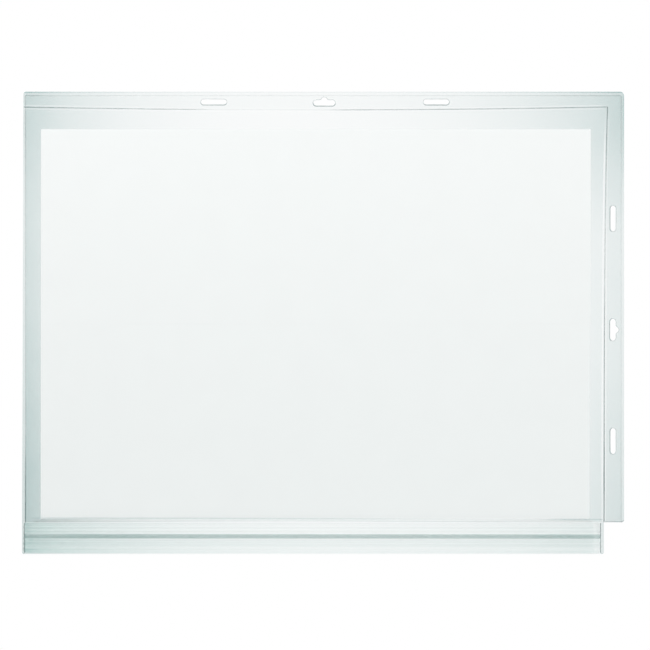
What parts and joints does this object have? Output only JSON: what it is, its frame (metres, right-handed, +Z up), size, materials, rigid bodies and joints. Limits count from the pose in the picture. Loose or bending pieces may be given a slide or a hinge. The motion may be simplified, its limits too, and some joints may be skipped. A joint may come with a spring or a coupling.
{
  "type": "display pocket",
  "caption": "Clear welded pocket for one large sheet, hung by slotted flanges along its top and right side and closed by a press-to-close lip along its lower edge.",
  "frame": {"origin": "the crown of the Euro slot in the middle of the top flange, where a hook carries the pocket, on the plane where the two films meet", "axes": "+X to the right as seen from the front, +Y to the back, +Z up; the front faces -Y"},
  "size_m": [0.459, 0.0037, 0.3524],
  "materials": {
    "rear_film": "clear soft vinyl film, smooth and glossy, faint grey-green cast",
    "front_film": "clear soft vinyl film, smooth and glossy",
    "closure_groove": "clear extruded profile, grey-green where it is thick",
    "closure_tongue": "clear extruded profile, grey-green where it is thick",
    "sheet": "plain white paper, matt"
  },
  "bodies": {
    "pocket": {"rear_film": "rear_film", "front_film": "front_film", "rear_closure_strip": "closure_groove"},
    "front_lip": {"front_closure_lip": "closure_tongue"},
    "insert": {"insert_sheet": "sheet"}
  },
  "joints": [
    {"name": "lip_hinge", "type": "hinge", "parent": "pocket", "child": "front_lip", "pos_m": [-0.0086, -0.003, -0.32435], "axis": [-1, 0, 0], "range_deg": [0, 75]},
    {"name": "insert_slide", "type": "slide", "parent": "pocket", "child": "insert", "axis": [0, 0, 1], "range_m": [0, 0.013]}
  ]
}
